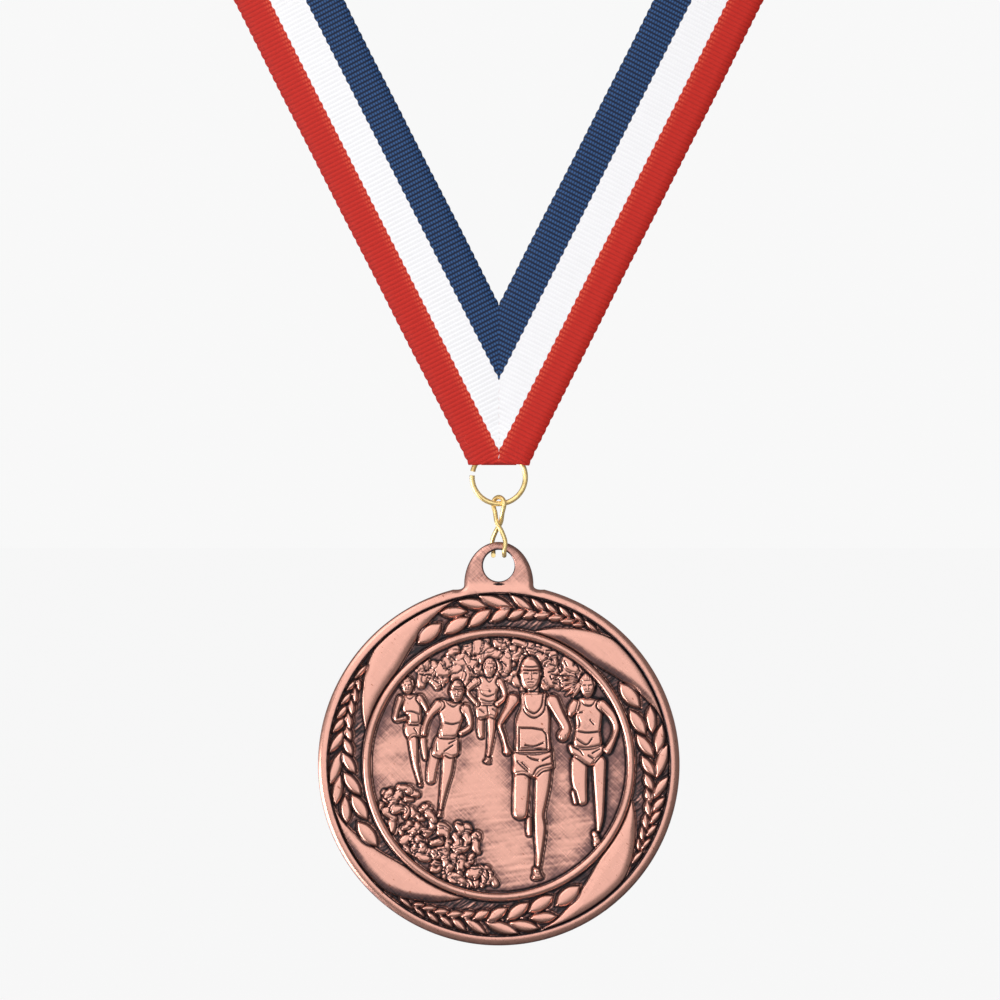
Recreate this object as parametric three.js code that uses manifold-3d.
import * as THREE from "three";
import { mergeVertices } from "three/addons/utils/BufferGeometryUtils.js";
import Module from "manifold-3d";

// A sports finisher medal on its neck ribbon, hanging the way it is worn.
// Millimetres, +Z up, the face of the medal towards -Y. The origin is on the inner face of the
// ribbon at the nape of the neck, which holds everything else up.

const wasm = await Module();
wasm.setup();
const degrees = THREE.MathUtils.degToRad;

// Clearances
const RUN_GAP = 0.3; // between two pieces that move on each other
const THREAD_GAP = 0.3; // between sewing thread and the tape it lies on

// Neck ribbon
const TAPE_WIDTH = 16.4;
const TAPE_THICKNESS = 0.5;
const LOOP_LENGTH = 762; // along the middle of the tape, from the seam round the neck to the seam
const V_HALF_ANGLE = degrees(27); // of each front run, from the vertical
const DRAPE_DEPTH_RATIO = 0.6; // of the neck and shoulders, front to back over side to side
const LOOP_STEPS = 72; // on each half
const CONE_STEPS = 720;

// Bottom of the ribbon: the front panel ends square, and the tail goes round the ring and up behind
const PANEL_DROP = 8.4; // from the meeting point of the two middle lines to the panel's lower edge
const TAIL_DROP = 8.7; // to the lowest point of the tail
const TAIL_WIDTH = 5.8;
const TAIL_OPENING = 2.6; // inside thickness of the tail's loop
const TAIL_INSET = 0.1; // of the tail's front layer behind the face of the panel
const TAIL_SEWN_FROM = 0.8; // height at which the tail lies flat on the back of the panel
const TAIL_TOP = 6.5;

// Sewing thread
const THREAD = 0.3;
const SEAM_BOTTOM = 7.4;
const SEAM_TOP = 16.4;
const TACK_HEIGHT = 3.6;
const TACK_WIDTH = 4.8;
const TACK_DEPTH = 1.6;
const TACK_ZIGZAGS = 4;

// Jump ring
const RING_OUTER = 9.7;
const RING_WIRE = 0.86;
const RING_DROP = 10.6; // from the meeting point of the middle lines to the ring's centre
const RING_PIVOT_DROP = 7.2; // to the line about which the ring swings inside the tail
const RING_GAP_AT = degrees(172); // place of the cut in the wire, from +X
const RING_GAP_WIDTH = degrees(9);
const RING_SPRING = 0.5; // how far the cut ends stand apart across the ring's plane
const RING_STEPS = 56;

// Wire clip
const CLIP_WIRE = 0.75;
const EYE_TOP = (RING_WIRE + CLIP_WIRE) / 2 + RUN_GAP; // of the eye's middle line, above the ring's
const EYE_HALF_WIDTH = 1.4;
const EYE_TURN = degrees(50); // of the eye's plane from the medal's plane
const CROSSING_DROP = 3.08; // from the ring's wire to where the two legs cross
const CROSSING_LAP = 0.1; // free space between the legs where they cross
const CLIP_LENGTH = 8.55; // from the ring's wire to the two tips
const LEG_SPREAD = 1.05; // sideways, of each leg at the top of the lug
const TIP_SPREAD = 0.9; // sideways, of each tip in the hole
const TIP_END = 0.25; // from the lug's middle plane to the end of each tip
const CLIP_STEPS = 84;

// Medal
const MEDAL_DIAMETER = 60;
const MEDAL_THICKNESS = 3;
const RIM_WIDTH = 1.8;
const EDGE_BEVEL = 0.3;
const BORDER_RADIUS = 22.6; // outside of the thin border ring
const BORDER_WIDTH = 1;
const BORDER_SET_BACK = 0.1; // below the rim
const FIELD_DEPTH = 1; // below the rim
const MEDAL_SEGMENTS = 96;

// Lug
const LUG_THICKNESS = 2.4;
const LUG_HALF_WIDTH = 5.75;
const LUG_HEIGHT = 7.15; // above its base line
const LUG_BASE_SINK = 0.2; // of its base line below the top of the disc
const LUG_FILLET = 1.8;
const HOLE_DIAMETER = 5.25;
const HOLE_ABOVE_DISC = 3; // from the top of the disc to the centre of the hole
const HOLE_SIDES = 40;

const WIRE_SIDES = 10;
const THREAD_SIDES = 6;
const TACK_STEPS = 40;
const TRIM_SIZE = 1000; // of the blocks that trim the tape

// ---------------------------------------------------------------- joining and cutting

/** A closed geometry as a solid that can be joined and cut. */
function solidOf(geometry) {
  const bare = geometry.clone();
  bare.deleteAttribute("normal");
  bare.deleteAttribute("uv");
  const merged = mergeVertices(bare);
  return new wasm.Manifold(
    new wasm.Mesh({
      numProp: 3,
      vertProperties: merged.attributes.position.array,
      triVerts: new Uint32Array(merged.index.array),
    }),
  );
}

function geometryOf(solid) {
  const mesh = solid.getMesh();
  const geometry = new THREE.BufferGeometry();
  geometry.setAttribute("position", new THREE.BufferAttribute(mesh.vertProperties, 3));
  geometry.setIndex(new THREE.BufferAttribute(mesh.triVerts, 1));
  geometry.computeVertexNormals();
  return geometry;
}

/** The same geometry on the other side of the X = 0 plane. */
function mirrored(geometry) {
  const twin = mergeVertices(geometry.clone().deleteAttribute("uv").deleteAttribute("normal"));
  twin.scale(-1, 1, 1);
  const index = twin.index.array;
  for (let i = 0; i < index.length; i += 3) {
    [index[i + 1], index[i + 2]] = [index[i + 2], index[i + 1]];
  }
  return twin;
}

/** A block from one corner to the other. */
function block(low, high) {
  const geometry = new THREE.BoxGeometry(high[0] - low[0], high[1] - low[1], high[2] - low[2]);
  geometry.translate((low[0] + high[0]) / 2, (low[1] + high[1]) / 2, (low[2] + high[2]) / 2);
  return geometry;
}

/** A flat outline in X and Z, given a thickness along Y about the Y = 0 plane. */
function plate(shape, thickness, curveSegments = 24) {
  const geometry = new THREE.ExtrudeGeometry(shape, {
    depth: thickness,
    bevelEnabled: false,
    curveSegments,
  });
  geometry.translate(0, 0, -thickness / 2);
  geometry.rotateX(Math.PI / 2);
  return geometry;
}

/** A round wire along a curve. A full circle gets two sides for each curve segment. */
function wire(curve, diameter, steps, sides = WIRE_SIDES) {
  const section = new THREE.Shape().absarc(0, 0, diameter / 2, 0, 2 * Math.PI, false);
  return new THREE.ExtrudeGeometry(section, {
    steps,
    curveSegments: sides / 2,
    bevelEnabled: false,
    extrudePath: curve,
  });
}

// ---------------------------------------------------------------- neck ribbon

// The tape is straight when flat, so it lies on the neck and shoulders along a straight line of
// their unrolled surface: a cone with an elliptical section, whose apex is above the medal and
// whose front line is vertical.
const UNROLLED_TURN = Math.PI / 2 - V_HALF_ANGLE;
const NAPE_REACH = LOOP_LENGTH / 2 / Math.tan(UNROLLED_TURN); // from the apex to the nape

/** The direction from the apex to the cone's section at an angle round it, 0 at the front. */
function coneDirection(angle, spread) {
  const x = spread * Math.sin(angle);
  const y = spread * DRAPE_DEPTH_RATIO * (1 - Math.cos(angle));
  return new THREE.Vector3(x, y, -1).normalize();
}

/** The unrolled angle reached at each step round half of the cone. */
function unroll(spread) {
  const reached = [0];
  let before = coneDirection(0, spread);
  for (let i = 1; i <= CONE_STEPS; i++) {
    const here = coneDirection((Math.PI * i) / CONE_STEPS, spread);
    reached.push(reached[i - 1] + before.angleTo(here));
    before = here;
  }
  return reached;
}

/** The spread of the cone on which the tape comes back to its start and meets in the V. */
function closingSpread() {
  let [low, high] = [0.05, 3];
  while (high - low > 1e-9) {
    const middle = (low + high) / 2;
    const turn = unroll(middle)[CONE_STEPS];
    [low, high] = turn < UNROLLED_TURN ? [middle, high] : [low, middle];
  }
  return (low + high) / 2;
}

const SPREAD = closingSpread();
const UNROLLED = unroll(SPREAD);

/** The angle round the cone at an unrolled angle from the front; past the ends it carries on. */
function angleRound(unrolled) {
  if (unrolled < 0) return -angleRound(-unrolled);
  if (unrolled > UNROLLED_TURN) return 2 * Math.PI - angleRound(2 * UNROLLED_TURN - unrolled);
  let i = 1;
  while (i < CONE_STEPS && UNROLLED[i] < unrolled) i++;
  const part = (unrolled - UNROLLED[i - 1]) / (UNROLLED[i] - UNROLLED[i - 1]);
  return (Math.PI * (i - 1 + Math.min(part, 1))) / CONE_STEPS;
}

/** The middle line of half of the tape, from past the V seam to past the nape. */
class HalfLoop extends THREE.Curve {
  constructor(frontExtra, napeExtra) {
    super();
    this.frontExtra = frontExtra;
    this.span = LOOP_LENGTH / 2 + frontExtra + napeExtra;
    this.arcLengthDivisions = 400;
  }

  /** The distance along the tape from the nape, and the unrolled angle from there. */
  station(t) {
    const along = LOOP_LENGTH / 2 + this.frontExtra - t * this.span;
    return { along, turned: Math.atan2(along, NAPE_REACH) };
  }

  getPoint(t, target = new THREE.Vector3()) {
    const { along, turned } = this.station(t);
    const direction = coneDirection(angleRound(UNROLLED_TURN - turned), SPREAD);
    return target.copy(direction).multiplyScalar(Math.hypot(along, NAPE_REACH));
  }

  /** The tape's own frame: its normal across the thickness and its binormal across the width. */
  computeFrenetFrames(segments) {
    const frames = { tangents: [], normals: [], binormals: [] };
    const nudge = 1e-4;
    for (let i = 0; i <= segments; i++) {
      const { turned } = this.station(this.getUtoTmapping(i / segments));
      const angle = angleRound(UNROLLED_TURN - turned);
      const outward = coneDirection(angle, SPREAD);
      const round = coneDirection(angle + nudge, SPREAD).sub(coneDirection(angle - nudge, SPREAD));
      round.addScaledVector(outward, -round.dot(outward)).normalize();
      const tangent = round
        .clone()
        .multiplyScalar(Math.cos(turned))
        .addScaledVector(outward, -Math.sin(turned));
      const normal = outward.clone().cross(round).normalize();
      frames.tangents.push(tangent);
      frames.normals.push(normal);
      frames.binormals.push(tangent.clone().cross(normal));
    }
    return frames;
  }
}

/** Half of the tape as a thin strip, running past both places where it is trimmed. */
function tapeStrip() {
  const frontExtra = TAPE_WIDTH / 2 / Math.tan(V_HALF_ANGLE) + TAPE_WIDTH / 8;
  const path = new HalfLoop(frontExtra, TAPE_THICKNESS);
  const section = new THREE.Shape();
  section.moveTo(-TAPE_THICKNESS / 2, -TAPE_WIDTH / 2);
  section.lineTo(TAPE_THICKNESS / 2, -TAPE_WIDTH / 2);
  section.lineTo(TAPE_THICKNESS / 2, TAPE_WIDTH / 2);
  section.lineTo(-TAPE_THICKNESS / 2, TAPE_WIDTH / 2);
  return new THREE.ExtrudeGeometry(section, {
    steps: LOOP_STEPS,
    bevelEnabled: false,
    extrudePath: path,
  });
}

// Places in the cone's frame
const SEAM_POINT = new THREE.Vector3(0, 0, -NAPE_REACH / Math.cos(UNROLLED_TURN));
const NAPE_DIRECTION = coneDirection(Math.PI, SPREAD);
const NAPE_NORMAL = new THREE.Vector3(0, NAPE_DIRECTION.z, -NAPE_DIRECTION.y); // towards the neck
const NAPE_POINT = NAPE_DIRECTION.clone()
  .multiplyScalar(NAPE_REACH)
  .addScaledVector(NAPE_NORMAL, TAPE_THICKNESS / 2);

// The tail: its middle line turns round the ring with this radius, behind the front panel
const TAIL_BEND = (TAIL_OPENING + TAPE_THICKNESS) / 2;
const TAIL_BEND_HEIGHT = -TAIL_DROP + TAIL_BEND + TAPE_THICKNESS / 2;
const TAIL_LEAVES_FROM = -RING_DROP + RING_OUTER / 2 + 2 * RUN_GAP; // clear of the ring's top

/** The tail of the tape, seen from the side: down the panel, round the ring and up the back. */
function tailGeometry() {
  const half = TAPE_THICKNESS / 2;
  const back = 2 * TAIL_BEND;
  const rest = TAPE_THICKNESS;
  const outline = new THREE.Shape();
  outline.moveTo(-half, TAIL_TOP);
  outline.lineTo(-half, TAIL_BEND_HEIGHT);
  outline.absarc(TAIL_BEND, TAIL_BEND_HEIGHT, TAIL_BEND + half, Math.PI, 2 * Math.PI, false);
  outline.lineTo(back + half, TAIL_LEAVES_FROM);
  outline.lineTo(rest + half, TAIL_SEWN_FROM);
  outline.lineTo(rest + half, TAIL_TOP);
  const hollow = new THREE.Path();
  hollow.moveTo(half, TAIL_BEND_HEIGHT);
  hollow.absarc(TAIL_BEND, TAIL_BEND_HEIGHT, TAIL_BEND - half, Math.PI, 2 * Math.PI, false);
  hollow.lineTo(back - half, TAIL_LEAVES_FROM);
  hollow.lineTo(half, TAIL_SEWN_FROM - TAPE_THICKNESS);
  outline.holes.push(hollow);
  const geometry = new THREE.ExtrudeGeometry(outline, {
    depth: TAIL_WIDTH,
    bevelEnabled: false,
    curveSegments: 14,
  });
  // the outline's X runs along Y and its Y along Z
  geometry.translate(TAIL_INSET, 0, -TAIL_WIDTH / 2);
  return geometry.rotateX(Math.PI / 2).rotateZ(Math.PI / 2);
}

/** The whole ribbon as one piece, about the seam point. */
function ribbonGeometry() {
  const strip = tapeStrip().translate(0, 0, -SEAM_POINT.z);
  const size = TRIM_SIZE;
  const right = solidOf(strip).intersect(solidOf(block([0, -size, -PANEL_DROP], [size, size, size])));
  const left = solidOf(mirrored(geometryOf(right)));
  return geometryOf(right.add(left).add(solidOf(tailGeometry())));
}

// ---------------------------------------------------------------- sewing thread

/** The row of stitches that holds the two mitred ends together, behind the seam. */
function seamThreadGeometry() {
  const inner = TAPE_THICKNESS / 2 + THREAD_GAP;
  return block([-THREAD / 2, inner, SEAM_BOTTOM], [THREAD / 2, inner + THREAD, SEAM_TOP]);
}

/** The zigzag bar tack that holds the tail to the back of the panel. */
function tackThreadGeometry() {
  const y = 1.5 * TAPE_THICKNESS + THREAD_GAP + THREAD / 2;
  const points = [];
  for (let i = 0; i <= 2 * TACK_ZIGZAGS; i++) {
    const x = TACK_WIDTH * (i / (2 * TACK_ZIGZAGS) - 0.5);
    const z = TACK_HEIGHT + (i % 2 === 0 ? -TACK_DEPTH / 2 : TACK_DEPTH / 2);
    points.push(new THREE.Vector3(x, y, z));
  }
  const zigzag = new THREE.CatmullRomCurve3(points, false, "catmullrom", 0.3);
  return wire(zigzag, THREAD, TACK_STEPS, THREAD_SIDES);
}

// ---------------------------------------------------------------- jump ring

/** One turn of round wire, cut once, its ends sprung a little apart across the ring. */
class CutRing extends THREE.Curve {
  getPoint(t, target = new THREE.Vector3()) {
    const radius = (RING_OUTER - RING_WIRE) / 2;
    const angle = RING_GAP_AT + RING_GAP_WIDTH / 2 + t * (2 * Math.PI - RING_GAP_WIDTH);
    const across = RING_SPRING * (t - 0.5) * Math.abs(2 * t - 1) ** 3;
    return target.set(radius * Math.cos(angle), across, radius * Math.sin(angle));
  }
}

// ---------------------------------------------------------------- wire clip

const CLIP_PIVOT = (RING_OUTER - RING_WIRE) / 2; // the ring's wire, below the ring's centre
const TIP_RADIUS = (HOLE_DIAMETER - CLIP_WIRE) / 2 - RUN_GAP; // of the tips, from the hole's centre
const TIP_RISE = Math.sqrt(TIP_RADIUS ** 2 - TIP_SPREAD ** 2); // of the tips, above that centre

/** A point of the clip's eye: along its own plane, across it, and up. */
function eyePoint(along, across, height) {
  const [c, s] = [Math.cos(EYE_TURN), Math.sin(EYE_TURN)];
  return new THREE.Vector3(along * c + across * s, across * c - along * s, height);
}

/** Half of the clip's wire, from the tip in front of the lug, past the crossing, to the eye. */
function halfClip() {
  const away = (LUG_THICKNESS + CLIP_WIRE) / 2 + RUN_GAP;
  const lugTop = -CLIP_LENGTH - TIP_RISE + LUG_HEIGHT - LUG_BASE_SINK - HOLE_ABOVE_DISC;
  const half = EYE_HALF_WIDTH;
  return [
    new THREE.Vector3(TIP_SPREAD, -TIP_END, -CLIP_LENGTH),
    new THREE.Vector3(TIP_SPREAD, -away + CLIP_WIRE, -CLIP_LENGTH),
    new THREE.Vector3(TIP_SPREAD, -away, -CLIP_LENGTH + CLIP_WIRE),
    new THREE.Vector3(LEG_SPREAD, -away, lugTop),
    new THREE.Vector3(LEG_SPREAD / 2, -away / 2, (lugTop - CROSSING_DROP) / 2),
    eyePoint(0, -(CLIP_WIRE + CROSSING_LAP) / 2, -CROSSING_DROP),
    eyePoint(-0.65 * half, 0, -CROSSING_DROP / 2),
    eyePoint(-half, 0, 0),
    eyePoint(-0.7 * half, 0, 0.7 * EYE_TOP),
  ];
}

/** The whole wire: the back half is the front half, half a turn round. */
function clipCurve() {
  const front = halfClip();
  const back = front.map((point) => new THREE.Vector3(-point.x, -point.y, point.z)).reverse();
  return new THREE.CatmullRomCurve3([...front, new THREE.Vector3(0, 0, EYE_TOP), ...back]);
}

// ---------------------------------------------------------------- medal

const DISC = MEDAL_DIAMETER / 2;

/** The struck disc: a raised rim, a thin border ring, two sunk fields and a plain back. */
function discGeometry() {
  const back = MEDAL_THICKNESS / 2;
  const field = -back + FIELD_DEPTH;
  const border = -back + BORDER_SET_BACK;
  const profile = [
    [0, field],
    [BORDER_RADIUS - BORDER_WIDTH, field],
    [BORDER_RADIUS - BORDER_WIDTH, border],
    [BORDER_RADIUS, border],
    [BORDER_RADIUS, field],
    [DISC - RIM_WIDTH, field],
    [DISC - RIM_WIDTH, -back],
    [DISC - EDGE_BEVEL, -back],
    [DISC, -back + EDGE_BEVEL],
    [DISC, back - EDGE_BEVEL],
    [DISC - EDGE_BEVEL, back],
    [0, back],
  ];
  const points = profile.map(([radius, depth]) => new THREE.Vector2(radius, depth));
  return new THREE.LatheGeometry(points, MEDAL_SEGMENTS);
}

/** The lug's outline about the disc's centre, with a hollow fillet on each side. */
function lugOutline() {
  const base = DISC - LUG_BASE_SINK;
  const outline = new THREE.Shape();
  const foot = LUG_HALF_WIDTH + LUG_FILLET;
  const rim = Math.sqrt(DISC ** 2 - foot ** 2);
  const deep = rim - RIM_WIDTH / 2;
  outline.moveTo(-foot, deep);
  outline.lineTo(foot, deep);
  outline.lineTo(foot, rim);
  outline.quadraticCurveTo(LUG_HALF_WIDTH, base - LUG_FILLET / 2, LUG_HALF_WIDTH, base);
  outline.absellipse(0, base, LUG_HALF_WIDTH, LUG_HEIGHT, 0, Math.PI, false, 0);
  outline.quadraticCurveTo(-LUG_HALF_WIDTH, base - LUG_FILLET / 2, -foot, rim);
  return outline;
}

/** The whole casting about its disc's centre. */
function medalGeometry() {
  const lug = solidOf(plate(lugOutline(), LUG_THICKNESS));
  const bore = new THREE.CylinderGeometry(
    HOLE_DIAMETER / 2,
    HOLE_DIAMETER / 2,
    2 * MEDAL_THICKNESS,
    HOLE_SIDES,
  );
  bore.translate(0, 0, DISC + HOLE_ABOVE_DISC);
  return geometryOf(solidOf(discGeometry()).add(lug).subtract(solidOf(bore)));
}

// ---------------------------------------------------------------- finishes

function finish(color, roughness, metalness) {
  return new THREE.MeshStandardMaterial({ color, roughness, metalness });
}

const COPPER = finish(0xc98470, 0.42, 0.85);
const GOLD = finish(0xdcb85a, 0.25, 1);
const TAPE = finish(0xc8352a, 0.85, 0);
const THREAD_FINISH = finish(0xd2423a, 0.8, 0);

function piece(name, geometry, material) {
  const mesh = new THREE.Mesh(geometry, material);
  mesh.name = name;
  return mesh;
}

/** A group at a height on the line that everything hangs from. */
function hangAt(height, parent) {
  const group = new THREE.Group();
  group.position.z = height;
  parent.add(group);
  return group;
}

// ---------------------------------------------------------------- the whole object

const finisherMedal = new THREE.Group();

const ribbon = new THREE.Group();
ribbon.position.copy(SEAM_POINT).sub(NAPE_POINT);
ribbon.add(piece("neck_ribbon", ribbonGeometry(), TAPE));
ribbon.add(piece("seam_stitching", seamThreadGeometry(), THREAD_FINISH));
ribbon.add(piece("tail_stitching", tackThreadGeometry(), THREAD_FINISH));
finisherMedal.add(ribbon);

// Everything below swings in the middle of the tail's loop, each piece from the one above it.
const ringPivot = hangAt(-RING_PIVOT_DROP, ribbon);
ringPivot.position.y = TAIL_BEND;
const ring = piece("jump_ring", wire(new CutRing(), RING_WIRE, RING_STEPS), GOLD);
ring.position.z = RING_PIVOT_DROP - RING_DROP;
ringPivot.add(ring);

const clipPivot = hangAt(RING_PIVOT_DROP - RING_DROP - CLIP_PIVOT, ringPivot);
clipPivot.add(piece("wire_clip", wire(clipCurve(), CLIP_WIRE, CLIP_STEPS), GOLD));

const medalPivot = hangAt(-CLIP_LENGTH - TIP_RISE, clipPivot);
const medal = piece("medal_casting", medalGeometry(), COPPER);
medal.position.z = -DISC - HOLE_ABOVE_DISC;
medalPivot.add(medal);

export default finisherMedal;
